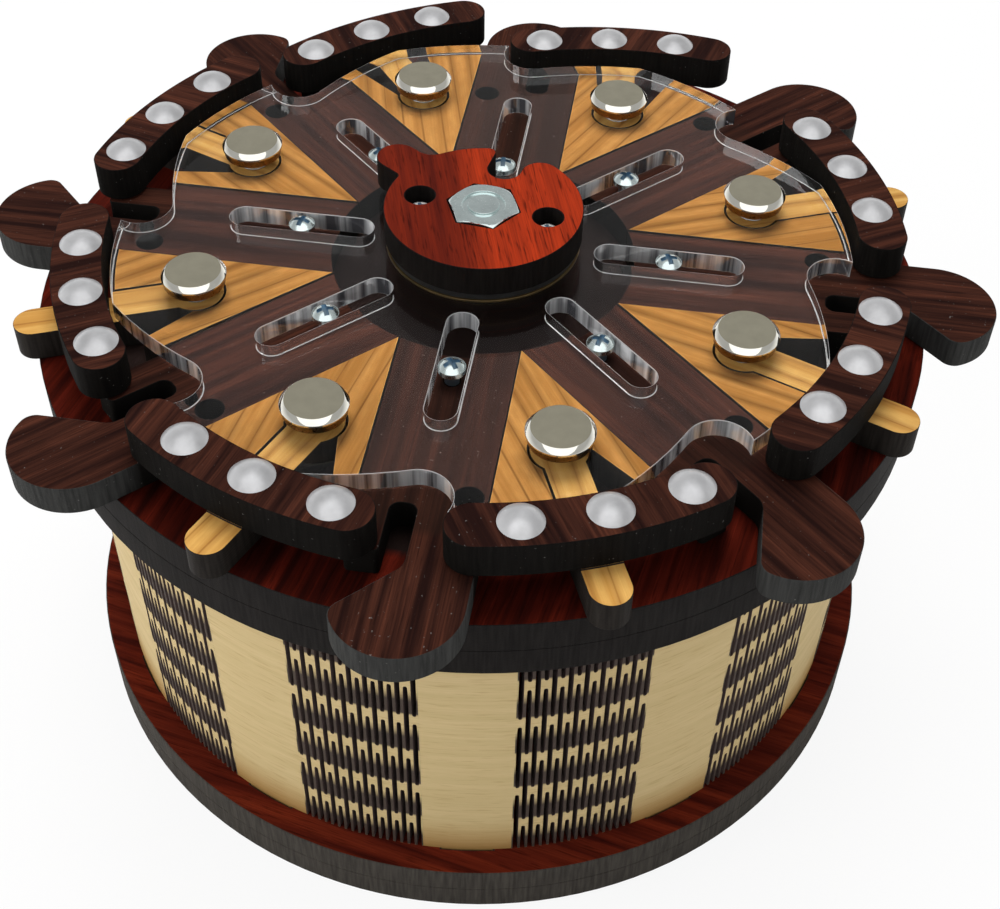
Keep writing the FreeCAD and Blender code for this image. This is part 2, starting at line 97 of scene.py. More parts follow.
# %% [markdown]
# Finishes, the room and the table are built from shader nodes. Most of them need the same few
# steps, so each step has a short helper: a sum of values, a value stretched to a new range, and a
# choice between two shaders.

# %% Node helpers
def calculated(tree, operation, *values):
    result = tree.nodes.new("ShaderNodeMath")
    result.operation = operation
    for value, socket in zip(values, result.inputs):
        if isinstance(value, float):
            socket.default_value = value
        else:
            tree.links.new(value, socket)
    return result.outputs[0]


def scaled(tree, value, factor):
    return calculated(tree, "MULTIPLY", value, factor)


def ranged(tree, value, low, high, start=0.0, end=1.0):
    spread = tree.nodes.new("ShaderNodeMapRange")
    spread.inputs["From Min"].default_value = low
    spread.inputs["From Max"].default_value = high
    spread.inputs["To Min"].default_value = start
    spread.inputs["To Max"].default_value = end
    tree.links.new(value, spread.inputs["Value"])
    return spread.outputs[0]


def either(tree, share, first, second):
    choice = tree.nodes.new("ShaderNodeMixShader")
    tree.links.new(share, choice.inputs[0])
    tree.links.new(first, choice.inputs[1])
    tree.links.new(second, choice.inputs[2])
    return choice.outputs[0]


def seen_directly(tree):
    return tree.nodes.new("ShaderNodeLightPath").outputs["Is Camera Ray"]


def object_place(tree):
    return tree.nodes.new("ShaderNodeTexCoord").outputs["Object"]


print("node helpers ready")

# %% [markdown]
# The room is white, as in a photograph whose background is burnt out. That white is only for the
# camera. Every other ray sees a room that is bright at the height of the table and grey above it,
# because metal in an evenly white room has nothing to mirror and looks like paint.

# %% White room
WHITE = (1.0, 1.0, 1.0, 1.0)
BRIGHT_BELOW = 0.05
GREY_ABOVE = 0.45
GREY = 0.38

bpy.context.scene.view_settings.view_transform = "Standard"
world = bpy.data.worlds.new("white_room")
bpy.context.scene.world = world
world.use_nodes = True
sky = world.node_tree
sky.nodes.clear()
direction = sky.nodes.new("ShaderNodeSeparateXYZ")
sky.links.new(object_place(sky), direction.inputs[0])
brightness = ranged(sky, direction.outputs["Z"], BRIGHT_BELOW, GREY_ABOVE, 1.0, GREY)
soft_sky = sky.nodes.new("ShaderNodeBackground")
soft_sky.inputs["Color"].default_value = WHITE
sky.links.new(brightness, soft_sky.inputs["Strength"])
white_sky = sky.nodes.new("ShaderNodeBackground")
white_sky.inputs["Color"].default_value = WHITE
white_sky.inputs["Strength"].default_value = 1.0
sky_out = sky.nodes.new("ShaderNodeOutputWorld")
room = either(sky, seen_directly(sky), soft_sky.outputs[0], white_sky.outputs[0])
sky.links.new(room, sky_out.inputs["Surface"])
print("world", world.name)

# %% [markdown]
# The table is a wide white sheet. For the camera it mostly glows, so it burns out like the
# background and keeps only a hint of the box's shadow. For all other rays it is matt paper, which
# throws light up under the grips.

# %% Table
TABLE_SIZE = 6.0
TABLE_Z = -0.0002
PAPER = (0.9, 0.9, 0.9, 1.0)
GLOW_SHARE = 0.9

table_material = bpy.data.materials.new("white_table")
table_material.use_nodes = True
sheet_tree = table_material.node_tree
sheet_tree.nodes.clear()
paper = sheet_tree.nodes.new("ShaderNodeBsdfDiffuse")
paper.inputs["Color"].default_value = PAPER
glow = sheet_tree.nodes.new("ShaderNodeEmission")
glow.inputs["Strength"].default_value = 1.0
glow_mask = scaled(sheet_tree, seen_directly(sheet_tree), GLOW_SHARE)
table_out = sheet_tree.nodes.new("ShaderNodeOutputMaterial")
table_look = either(sheet_tree, glow_mask, paper.outputs[0], glow.outputs[0])
sheet_tree.links.new(table_look, table_out.inputs["Surface"])
bpy.ops.mesh.primitive_plane_add(size=TABLE_SIZE, location=(0.0, 0.0, TABLE_Z))
table = bpy.context.active_object
table.name = "table"
table.data.materials.append(table_material)
print("table of", TABLE_SIZE, "m")

# %% [markdown]
# The key lamp stands behind the box, and two weaker lamps stand at its sides. They light the wood
# but aren't mirrored, or they would show as discs in the acrylic. A wide panel above the camera
# does the reverse: it lights no wood and is there for the domes and chamfers to mirror.

# %% Lamps
def lamp(name, place, aim, size, watts, mirrored):
    light = bpy.data.lights.new(name, "AREA")
    light.shape = "DISK"
    light.size = size
    light.energy = watts
    holder = bpy.data.objects.new(name, light)
    holder.location = place
    holder.rotation_euler = (Vector(place) - Vector(aim)).to_track_quat("Z", "Y").to_euler()
    holder.visible_camera = False
    holder.visible_glossy = mirrored
    holder.visible_diffuse = not mirrored
    bpy.context.scene.collection.objects.link(holder)


lamp("key_lamp", (-0.05, 0.30, 0.95), aim=(0.0, 0.0, 0.09), size=0.60, watts=6.2, mirrored=False)
lamp("front_panel", (0.05, -0.40, 0.95), aim=(0.0, 0.0, 0.09), size=1.50, watts=4.4, mirrored=True)
lamp("left_lamp", (-0.75, -0.35, 0.45), aim=(0.0, 0.0, 0.08), size=0.60, watts=3.8, mirrored=False)
lamp("right_lamp", (0.80, -0.30, 0.30), aim=(0.0, 0.0, 0.06), size=0.60, watts=0.8, mirrored=False)
print("three lamps and a panel")

# %% [markdown]
# Several effects are shared by more than one material, so each is a node group. A group takes a
# place on the piece and gives back masks between 0 and 1. Most masks are noise: a stretch for each
# axis, an amount of detail, and the range of the noise that is spread to 0 to 1. Wood and laser
# marks run one way, so their noise is stretched that way.

# %% Group helpers
def new_group(name, masks):
    group = bpy.data.node_groups.new(name, "ShaderNodeTree")
    group.interface.new_socket(name="Place", in_out="INPUT", socket_type="NodeSocketVector")
    for mask in masks:
        group.interface.new_socket(name=mask, in_out="OUTPUT", socket_type="NodeSocketFloat")
    entry = group.nodes.new("NodeGroupInput")
    leave = group.nodes.new("NodeGroupOutput")
    return group, entry.outputs["Place"], leave.inputs


def placed_group(tree, group, place):
    effect = tree.nodes.new("ShaderNodeGroup")
    effect.node_tree = group
    tree.links.new(place, effect.inputs["Place"])
    return effect.outputs


def stretched(tree, source, stretch):
    shape = tree.nodes.new("ShaderNodeMapping")
    shape.inputs["Scale"].default_value = stretch
    tree.links.new(source, shape.inputs["Vector"])
    return shape.outputs[0]


def stretched_noise(tree, source, stretch, detail, low, high):
    noise = tree.nodes.new("ShaderNodeTexNoise")
    noise.inputs["Scale"].default_value = 1.0
    noise.inputs["Detail"].default_value = detail
    tree.links.new(stretched(tree, source, stretch), noise.inputs["Vector"])
    return ranged(tree, noise.outputs[0], low, high)


print("group helpers ready")

# %% [markdown]
# The first effect is the figure of the wood: long streaks, fine fibres, short dark pores and a
# soft mottle, with X as the grain direction in millimetres. The growth lines are a wave across the
# grain. Its crests are thin lines everywhere, and in some patches they widen into bands.

# %% Wood figure
GRAIN_NOISE = {
    "Streaks": ((0.018, 0.42, 0.42), 3.0, 0.36, 0.66),
    "Fibres": ((0.06, 3.2, 3.2), 2.0, 0.30, 0.70),
    "Pores": ((0.16, 1.9, 1.9), 2.0, 0.56, 0.70),
    "Mottle": ((0.30, 0.75, 0.75), 3.0, 0.34, 0.66),
}
PATCH_NOISE = ((0.020, 0.035, 0.035), 1.0, 0.36, 0.56)
RING_STRETCH = (0.025, 0.15, 0.15)
THIN_LINES = (0.84, 0.97, 0.0, 0.85)
BROAD_BANDS = (0.45, 0.95, 0.0, 0.7)

figure, grain, figure_out = new_group("wood_figure", ["Streaks", "Lines", "Fibres", "Pores", "Mottle"])
for mask, noise in GRAIN_NOISE.items():
    figure.links.new(stretched_noise(figure, grain, *noise), figure_out[mask])
rings = figure.nodes.new("ShaderNodeTexWave")
rings.bands_direction = "Y"
rings.wave_profile = "TRI"
rings.inputs["Scale"].default_value = 0.5
rings.inputs["Distortion"].default_value = 5.0
rings.inputs["Detail"].default_value = 1.0
rings.inputs["Detail Scale"].default_value = 0.6
figure.links.new(stretched(figure, grain, RING_STRETCH), rings.inputs["Vector"])
thin = ranged(figure, rings.outputs["Fac"], *THIN_LINES)
broad = ranged(figure, rings.outputs["Fac"], *BROAD_BANDS)
bands = calculated(figure, "MULTIPLY", broad, stretched_noise(figure, grain, *PATCH_NOISE))
figure.links.new(calculated(figure, "MAXIMUM", thin, bands), figure_out["Lines"])
print("group", figure.name)

# %% [markdown]
# The second effect is the cut edge. A laser leaves every upright edge charred, while the faces
# stay clean, so the mask is read from how far the surface leans from level. The soot runs down the
# edge in faint stripes.

# %% Charred edge
LEVEL_FROM = 0.90
LEVEL_TO = 0.985
SOOT_NOISE = ((1.6, 1.6, 0.12), 2.0, 0.3, 0.7)

char, char_place, char_out = new_group("charred_edge", ["Side", "Soot"])
surface = char.nodes.new("ShaderNodeNewGeometry")
normal = char.nodes.new("ShaderNodeSeparateXYZ")
char.links.new(surface.outputs["Normal"], normal.inputs[0])
level = calculated(char, "ABSOLUTE", normal.outputs["Z"])
char.links.new(ranged(char, level, LEVEL_FROM, LEVEL_TO, 1.0, 0.0), char_out["Side"])
char.links.new(stretched_noise(char, char_place, *SOOT_NOISE), char_out["Soot"])
print("group", char.name)

# %% [markdown]
# The third effect is dust: a few pale specks that stay on dark, unpolished wood. Only the highest
# peaks of an even noise are kept.

# %% Dust
SPECK_NOISE = ((1.5, 1.5, 1.5), 1.0, 0.74, 0.84)

dust, dust_place, dust_out = new_group("dust_specks", ["Specks"])
dust.links.new(stretched_noise(dust, dust_place, *SPECK_NOISE), dust_out["Specks"])
print("group", dust.name)

# %% [markdown]
# Colours are laid over each other like washes: each mask lets a little of the next colour through.
# Wedges are cut from boards that lie different ways, so their pattern is turned and shifted from
# one eighth of the lid to the next. Under the cover the wood is painted darker, as painted shade,
# and one side of the cam's board is lighter sapwood.

# %% Colour helpers
SECTOR = math.radians(45.0)
SECTOR_TURN = -0.9
SECTOR_SHIFT_Y = 0.013
SECTOR_SHIFT_Z = 0.050
FADE = 2.0


def mix_colours(tree, share, first, second):
    mix = tree.nodes.new("ShaderNodeMix")
    mix.data_type = "RGBA"
    tree.links.new(share, mix.inputs[0])
    for value, socket in ((first, mix.inputs[6]), (second, mix.inputs[7])):
        if isinstance(value, tuple):
            socket.default_value = value + (1.0,)
        else:
            tree.links.new(value, socket)
    return mix.outputs[2]


def washed(tree, colour, mask, share, wash):
    return mix_colours(tree, scaled(tree, mask, share), colour, wash)


def ramped(tree, value, stops):
    ramp = tree.nodes.new("ShaderNodeValToRGB")
    marks = ramp.color_ramp.elements
    marks[0].position = stops[0][0]
    marks[1].position = stops[-1][0]
    for between in range(1, len(stops) - 1):
        marks.new(stops[between][0])
    for mark, stop in zip(marks, stops):
        mark.color = stop[1] + (1.0,)
    tree.links.new(value, ramp.inputs["Fac"])
    return ramp.outputs["Color"]


def angle_and_height(tree, source):
    parts = tree.nodes.new("ShaderNodeSeparateXYZ")
    tree.links.new(source, parts.inputs[0])
    return calculated(tree, "ARCTAN2", parts.outputs["Y"], parts.outputs["X"]), parts.outputs["Z"]


def sector_turn(tree, source):
    angle = angle_and_height(tree, source)[0]
    sector = calculated(tree, "SNAP", angle, SECTOR)
    spun = tree.nodes.new("ShaderNodeVectorRotate")
    spun.rotation_type = "Z_AXIS"
    tree.links.new(source, spun.inputs["Vector"])
    tree.links.new(scaled(tree, sector, SECTOR_TURN), spun.inputs["Angle"])
    apart = tree.nodes.new("ShaderNodeCombineXYZ")
    tree.links.new(scaled(tree, sector, SECTOR_SHIFT_Y), apart.inputs["Y"])
    tree.links.new(scaled(tree, sector, SECTOR_SHIFT_Z), apart.inputs["Z"])
    moved = tree.nodes.new("ShaderNodeVectorMath")
    tree.links.new(spun.outputs[0], moved.inputs[0])
    tree.links.new(apart.outputs[0], moved.inputs[1])
    return moved.outputs[0]


# Washes a colour towards inner within a radius of the middle: painted shade under the cover, and on the
# slider edges painted shade together with soot.
def within_radius(tree, source, colour, inner, share, radius):
    flat = tree.nodes.new("ShaderNodeVectorMath")
    flat.operation = "MULTIPLY"
    flat.inputs[1].default_value = (1.0, 1.0, 0.0)
    tree.links.new(source, flat.inputs[0])
    reach = tree.nodes.new("ShaderNodeVectorMath")
    reach.operation = "LENGTH"
    tree.links.new(flat.outputs[0], reach.inputs[0])
    inside = ranged(tree, reach.outputs["Value"], (radius - FADE) * MM, radius * MM, 1.0, 0.0)
    return washed(tree, colour, inside, share, inner)


def sapwood(tree, source, angle, start, end):
    across = tree.nodes.new("ShaderNodeVectorMath")
    across.operation = "DOT_PRODUCT"
    grain_angle = math.radians(angle)
    across.inputs[1].default_value = (math.sin(grain_angle), -math.cos(grain_angle), 0.0)
    tree.links.new(source, across.inputs[0])
    return ranged(tree, across.outputs["Value"], start * MM, end * MM)


print("colour helpers ready")

# %% [markdown]
# One function makes every wood. It takes the colours of the wood and the direction of its grain,
# lays the figure on the board in millimetres, chars the edges and raises the fibres a little. The
# woods differ only in their values, so the whole box looks as if one maker had cut it.

# %% Wood function
SHADE_R = 78.0
INNER_EDGE_R = 88.0
LINE_SHARE = 0.92
SAP_SHARE = 0.7
PORE_TONE = 0.35
SOOT_TONE = 0.55
DUST = (0.42, 0.40, 0.38)
WOOD_SHEEN = 0.03
SEED_STEP = (37.0, 53.0, 11.0)


def new_material(name):
    material = bpy.data.materials.new(name)
    material.use_nodes = True
    tree = material.node_tree
    return material, tree, tree.nodes["Principled BSDF"]


def darkened(colour, share):
    return tuple(share * part for part in colour)


def on_board(tree, place, angle, seed):
    board = tree.nodes.new("ShaderNodeMapping")
    board.inputs["Scale"].default_value = (1000.0, 1000.0, 1000.0)
    board.inputs["Rotation"].default_value = (0.0, 0.0, -math.radians(angle))
    board.inputs["Location"].default_value = tuple(seed * step for step in SEED_STEP)
    tree.links.new(place, board.inputs["Vector"])
    return board.outputs[0]


def raised_fibres(tree, shader, height):
    relief = tree.nodes.new("ShaderNodeBump")
    relief.inputs["Strength"].default_value = 0.25
    relief.inputs["Distance"].default_value = 0.0001
    tree.links.new(height, relief.inputs["Height"])
    tree.links.new(relief.outputs[0], shader.inputs["Normal"])


def timber(name, dark, mid, light, edge, angle=0.0, seed=0.0, line=None, fibre_share=0.4,
           mottle_share=0.0, pore_share=0.0, dust_share=0.0, gloss=0.6, sectors=False, shade_under_cover=None,
           shade_under_cover_share=1.0, sap=None, inner_edge=None):
    material, tree, shader = new_material(name)
    source = object_place(tree)
    board = on_board(tree, sector_turn(tree, source) if sectors else source, angle, seed)
    wood = placed_group(tree, figure, board)
    tone = wood["Streaks"]
    if sap:
        blend = tree.nodes.new("ShaderNodeMix")
        blend.inputs[0].default_value = SAP_SHARE
        tree.links.new(tone, blend.inputs[2])
        tree.links.new(sapwood(tree, source, angle, *sap), blend.inputs[3])
        tone = blend.outputs[0]
    colour = ramped(tree, tone, ((0.0, dark), (0.5, mid), (1.0, light)))
    if line:
        colour = washed(tree, colour, wood["Lines"], LINE_SHARE, line)
    colour = washed(tree, colour, wood["Fibres"], fibre_share, dark)
    if mottle_share:
        colour = washed(tree, colour, wood["Mottle"], mottle_share, dark)
    if pore_share:
        colour = washed(tree, colour, wood["Pores"], pore_share, darkened(dark, PORE_TONE))
    # Painted shade under the cover: inside SHADE_R the wood is washed towards a darker colour.
    if shade_under_cover:
        colour = within_radius(tree, source, colour, shade_under_cover, shade_under_cover_share, SHADE_R)
    burnt = placed_group(tree, char, board)
    edge_colour = mix_colours(tree, burnt["Soot"], darkened(edge, SOOT_TONE), edge)
    if inner_edge:
        edge_colour = within_radius(tree, source, edge_colour, inner_edge, 1.0, INNER_EDGE_R)
    colour = mix_colours(tree, burnt["Side"], colour, edge_colour)
    if dust_share:
        specks = placed_group(tree, dust, board)
        colour = washed(tree, colour, specks["Specks"], dust_share, DUST)
    tree.links.new(colour, shader.inputs["Base Color"])
    shader.inputs["Roughness"].default_value = gloss
    shader.inputs["Specular IOR Level"].default_value = WOOD_SHEEN
    raised_fibres(tree, shader, wood["Fibres"])
    return material


print("wood function ready")

# %% [markdown]
# The base, the lid and the cam are red woods, the cam the brightest. The wedges and fingers are
# honey-coloured maple with clear growth lines, and the sliders and blocks are a very dark wood.
# Those two are used for many pieces, so their colours are kept together.

# %% Wood colours
CHARCOAL = (0.018, 0.016, 0.015)
DARK = dict(dark=(0.014, 0.005, 0.004), mid=(0.048, 0.016, 0.010), light=(0.090, 0.028, 0.016),
            fibre_share=0.65, pore_share=0.4, dust_share=0.3, gloss=0.7)
HONEY = dict(dark=(0.560, 0.280, 0.066), mid=(0.720, 0.410, 0.115), light=(0.780, 0.470, 0.145),
             edge=(0.026, 0.022, 0.019), line=(0.240, 0.080, 0.016), fibre_share=0.3,
             mottle_share=0.4, gloss=0.5)
red_base = timber("redwood_base", dark=(0.055, 0.007, 0.004), mid=(0.130, 0.016, 0.007),
                  light=(0.190, 0.026, 0.010), edge=(0.072, 0.064, 0.055), angle=-12.0, seed=1.0,
                  pore_share=0.5)
# The lid's red is a darker copy of the base's red, partly a darker board and partly painted shade cast
# by the blocks above it; inside SHADE_R it is painted near black as painted shade.
red_lid = timber("redwood_lid", dark=(0.022, 0.003, 0.002), mid=(0.070, 0.007, 0.003),
                 light=(0.130, 0.013, 0.006), edge=CHARCOAL, angle=80.0, seed=2.0, pore_share=0.5,
                 shade_under_cover=(0.012, 0.007, 0.006))
red_cam = timber("orange_cam", dark=(0.065, 0.007, 0.004), mid=(0.230, 0.021, 0.006),
                 light=(0.420, 0.036, 0.008), edge=(0.012, 0.010, 0.009), angle=107.0, seed=3.0,
                 fibre_share=0.45, pore_share=0.7, sap=(-6.0, 1.0))
maple_wedge = timber("maple_wedge", angle=22.5, seed=4.0, sectors=True, **HONEY)
print("four woods made; dark wood and maple follow piece by piece")

# %% [markdown]
# The drum's plywood is pale and its grain runs round the drum, so its pattern is laid on the
# unrolled strip. The laser has toasted the foot of the staves a little. In the hinge panels the
# thin lands twist as the strip bends, so they are painted dark as painted shade and only the
# bridges stay pale: the painted shade repeats with the rows of bridges.

# %% Birch strip
DRUM_R = 85.7
FOOT_Z = 13.0
FIRST_BRIDGE = 22.9
BRIDGE_PITCH = 23.7
ROW_PITCH = BRIDGE_PITCH / 2
TOAST_TOP_Z = 24.0
TOP_ROW_Z = 73.0
PALE_BIRCH = (0.62, 0.48, 0.25)
DEEP_BIRCH = (0.57, 0.44, 0.22)
BIRCH_FIBRE = (0.44, 0.30, 0.12)
BIRCH_PORE = (0.37, 0.24, 0.09)
TOAST = (0.34, 0.17, 0.035)
LAND_SHADE = (0.036, 0.026, 0.028)
UNSHADED = (0.0, 0.0, 0.0)
SHADED = (1.0, 1.0, 1.0)
LAND_SHADING = ((0.13, UNSHADED), (0.18, SHADED), (0.52, SHADED), (0.78, UNSHADED))


def toasted_foot(tree, colour, height):
    toast = ranged(tree, height, FOOT_Z * MM, TOAST_TOP_Z * MM, 0.8, 0.0)
    return mix_colours(tree, toast, colour, TOAST)


# Painted shade: the thin lands are washed dark between the rows of bridges, where they twist away from
# the light, and above TOP_ROW_Z they stay dark up to the rim.
def shaded_lands(tree, colour, height):
    rows = calculated(tree, "MULTIPLY_ADD", height, 1000.0 / ROW_PITCH, -FIRST_BRIDGE / ROW_PITCH)
    between = ramped(tree, calculated(tree, "FRACT", rows), LAND_SHADING)
    top = ranged(tree, height, TOP_ROW_Z * MM, (TOP_ROW_Z + 1.0) * MM)
    land_shading = calculated(tree, "MAXIMUM", between, top)
    return washed(tree, colour, land_shading, 0.95, LAND_SHADE)


def birch_ply(name, toast_and_shade):
    material, tree, shader = new_material(name)
    angle, height = angle_and_height(tree, object_place(tree))
    strip = tree.nodes.new("ShaderNodeCombineXYZ")
    tree.links.new(scaled(tree, angle, DRUM_R), strip.inputs["X"])
    tree.links.new(scaled(tree, height, 1000.0), strip.inputs["Y"])
    wood = placed_group(tree, figure, strip.outputs[0])
    colour = mix_colours(tree, wood["Streaks"], DEEP_BIRCH, PALE_BIRCH)
    colour = washed(tree, colour, wood["Fibres"], 0.25, BIRCH_FIBRE)
    colour = washed(tree, colour, wood["Pores"], 0.40, BIRCH_PORE)
    tree.links.new(toast_and_shade(tree, colour, height), shader.inputs["Base Color"])
    shader.inputs["Roughness"].default_value = 0.6
    shader.inputs["Specular IOR Level"].default_value = 0.1
    return material


birch = birch_ply("birch_staves", toasted_foot)
birch_hinge = birch_ply("birch_hinges", shaded_lands)
print("birch for staves and hinges made")

# %% [markdown]
# No metal is quite even. A fine mottling changes its colour a little and its gloss more, so the
# caps, rivets and screws don't mirror the room perfectly. The same cloudiness does for the black
# spacer and for the smoked walls of the slots.

# %% Metals
WEAR_NOISE = {
    "Clouds": ((300.0, 300.0, 300.0), 3.0, 0.3, 0.7),
    "Grains": ((2600.0, 2600.0, 2600.0), 2.0, 0.3, 0.7),
}

wear, wear_place, wear_out = new_group("fine_wear", list(WEAR_NOISE))
for mask, noise in WEAR_NOISE.items():
    wear.links.new(stretched_noise(wear, wear_place, *noise), wear_out[mask])


def worn(name, colour, metallic, gloss, contrast=0.15):
    material, tree, shader = new_material(name)
    shader.inputs["Metallic"].default_value = metallic
    marks = placed_group(tree, wear, object_place(tree))
    lighter = tuple(min(1.0, (1.0 + contrast) * part) for part in colour)
    tint = mix_colours(tree, marks["Clouds"], darkened(colour, 1.0 - contrast), lighter)
    tree.links.new(tint, shader.inputs["Base Color"])
    polish = ranged(tree, marks["Grains"], 0.0, 1.0, 0.8 * gloss, 1.25 * gloss)
    tree.links.new(polish, shader.inputs["Roughness"])
    return material


nickel = worn("nickel_caps", (0.67, 0.63, 0.48), metallic=1.0, gloss=0.10, contrast=0.05)
# The chamfer's nickel is brighter and whiter than the face's as painted highlight, and a little
# glossier; the foot's nickel is dark as painted shade under the cap.
bright_chamfer = worn("chamfer_painted_highlight", (0.95, 0.93, 0.84), metallic=1.0, gloss=0.06, contrast=0.05)
shaded_foot = worn("cap_foot_painted_shade", (0.18, 0.11, 0.05), metallic=1.0, gloss=0.30, contrast=0.10)
aluminium = worn("satin_rivets", (0.60, 0.60, 0.61), metallic=0.7, gloss=0.36, contrast=0.12)
zinc = worn("zinc_screws", (0.80, 0.91, 0.90), metallic=1.0, gloss=0.22, contrast=0.10)
# A lighter, less metallic zinc for the cam screws, whose heads sit in dark holes: painted light, so
# that they look lit.
painted_light_zinc = worn("painted_light_zinc", (0.95, 0.95, 0.90), metallic=0.4, gloss=0.45, contrast=0.10)
recess = worn("screw_recess", (0.32, 0.44, 0.54), metallic=1.0, gloss=0.35)
brass = worn("brass_disc", (0.26, 0.18, 0.08), metallic=1.0, gloss=0.35)
black = worn("black_spacer", (0.012, 0.012, 0.012), metallic=0.0, gloss=0.4, contrast=0.3)
soot_wall = worn("slot_walls", (0.085, 0.055, 0.050), metallic=0.0, gloss=0.8, contrast=0.3)
print("metals, spacer and slot walls made")

# %% [markdown]
# Acrylic is clear through its polished faces. Its laser-cut edges are streaked from top to bottom,
# light and dark, and their rims are frosted. Seen from inside the sheet an edge is left as plain
# glass, or its streaks would show again through the faces. Lamps shine straight through all of it,
# because the true light paths through a sheet are too dim and noisy to follow.

# %% Clear acrylic
ACRYLIC_BEND = 1.49
FACE_BEND = 1.24
LASER_STREAKS = ((420.0, 420.0, 12.0), 4.0, 0.40, 0.62)
STREAK_DARK = (0.10, 0.10, 0.11)
STREAK_LIGHT = (0.92, 0.93, 0.94)


def streaked_edge(tree, shader):
    streaks = stretched_noise(tree, object_place(tree), *LASER_STREAKS)
    relief = tree.nodes.new("ShaderNodeBump")
    relief.inputs["Strength"].default_value = 0.35
    relief.inputs["Distance"].default_value = 0.0002
    tree.links.new(streaks, relief.inputs["Height"])
    tree.links.new(relief.outputs[0], shader.inputs["Normal"])
    colour = mix_colours(tree, streaks, STREAK_DARK, STREAK_LIGHT)
    tree.links.new(colour, shader.inputs["Base Color"])
    plain = tree.nodes.new("ShaderNodeBsdfGlass")
    plain.inputs["IOR"].default_value = ACRYLIC_BEND
    plain.inputs["Roughness"].default_value = 0.0
    inside = tree.nodes.new("ShaderNodeNewGeometry").outputs["Backfacing"]
    return either(tree, inside, shader.outputs[0], plain.outputs[0])


def clear_plastic(name, gloss, bend, through, streaked=False):
    material, tree, shader = new_material(name)
    shader.inputs["Base Color"].default_value = (0.97, 0.98, 0.98, 1.0)
    shader.inputs["Roughness"].default_value = gloss
    shader.inputs["IOR"].default_value = bend
    shader.inputs["Transmission Weight"].default_value = through
    seen = streaked_edge(tree, shader) if streaked else shader.outputs[0]
    shadow_ray = tree.nodes.new("ShaderNodeLightPath").outputs["Is Shadow Ray"]
    open_air = tree.nodes.new("ShaderNodeBsdfTransparent")
    look = either(tree, shadow_ray, seen, open_air.outputs[0])
    tree.links.new(look, tree.nodes["Material Output"].inputs["Surface"])
    return material


acrylic = clear_plastic("acrylic_face", gloss=0.0, bend=FACE_BEND, through=1.0)
acrylic_edge = clear_plastic("acrylic_edge", gloss=0.10, bend=ACRYLIC_BEND, through=0.40, streaked=True)
acrylic_rim = clear_plastic("acrylic_rim", gloss=0.20, bend=ACRYLIC_BEND, through=0.70)
print("acrylic for faces, edges and rims made")

# %% [markdown]
# The plates keep the outline of the CAD nodes. A copy of each gets a fine bevel, as the edge of a
# real plate is never sharp and the bevel catches the light. A CAD mesh is loose triangles, so the
# copy is merged first. No point may end up above or below the CAD piece.

# %% Bevelled copies
BEVEL = 0.2
BEVEL_CORNER = 35.0
SMOOTH_ANGLE = 40.0
MERGE_DISTANCE = 0.000001
FLAT_ANGLE = 0.3
REACH = 20.0


def body_of(node):
    for body, members in frame["record"]["behaviour"]["bodies"].items():
        if node in members:
            return body


def only(piece):
    bpy.ops.object.select_all(action="DESELECT")
    piece.select_set(True)
    bpy.context.view_layer.objects.active = piece


def apply_modifier(piece, name):
    only(piece)
    bpy.ops.object.modifier_apply(modifier=name)


def lowest_and_highest(piece):
    heights = [point.co.z for point in piece.data.vertices]
    return min(heights), max(heights)


def merged_copy(node, name):
    source = NODES[node]
    piece = source.copy()
    piece.data = source.data.copy()
    piece.name = name
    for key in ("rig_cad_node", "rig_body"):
        if key in piece:
            del piece[key]
    piece.parent = None
    bpy.context.scene.collection.objects.link(piece)
    only(piece)
    bpy.ops.object.mode_set(mode="EDIT")
    bpy.ops.mesh.select_all(action="SELECT")
    bpy.ops.mesh.remove_doubles(threshold=MERGE_DISTANCE)
    bpy.ops.mesh.dissolve_limited(angle_limit=math.radians(FLAT_ANGLE))
    bpy.ops.object.mode_set(mode="OBJECT")
    return piece


def cut_to_outline(piece, node):
    cutter = merged_copy(node, "cutter")
    lowest, highest = lowest_and_highest(cutter)
    middle = (lowest + highest) / 2
    for point in cutter.data.vertices:
        point.co.z += REACH * MM if point.co.z > middle else -REACH * MM
    cut = piece.modifiers.new("outline", "BOOLEAN")
    cut.object = cutter
    cut.operation = "INTERSECT"
    cut.solver = "EXACT"
    apply_modifier(piece, "outline")
    bpy.data.objects.remove(cutter)


def softened(node, material, width=BEVEL, corner=BEVEL_CORNER, outline=None):
    piece = merged_copy(node, node + "_look")
    if outline:
        cut_to_outline(piece, outline)
    edge = piece.modifiers.new("soft_edge", "BEVEL")
    edge.width = width * MM
    edge.segments = 2
    edge.limit_method = "ANGLE"
    edge.angle_limit = math.radians(corner)
    edge.use_clamp_overlap = False
    apply_modifier(piece, "soft_edge")
    lowest, highest = lowest_and_highest(NODES[node])
    for point in piece.data.vertices:
        point.co.z = min(max(point.co.z, lowest), highest)
    bpy.ops.object.shade_smooth_by_angle(angle=math.radians(SMOOTH_ANGLE))
    even = piece.modifiers.new("even_faces", "WEIGHTED_NORMAL")
    even.keep_sharp = True
    apply_modifier(piece, "even_faces")
    piece.data.materials.clear()
    piece.data.materials.append(material)
    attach(piece, body_of(node))
    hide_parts(node)
    return piece


print("bevel of", BEVEL, "mm")

# %% [markdown]
# Base, rim, lid and cam are plain plates. The wedges follow the bays in the edge of the cover that
# lies on them, so their copy is cut to the cover's outline before it is bevelled.

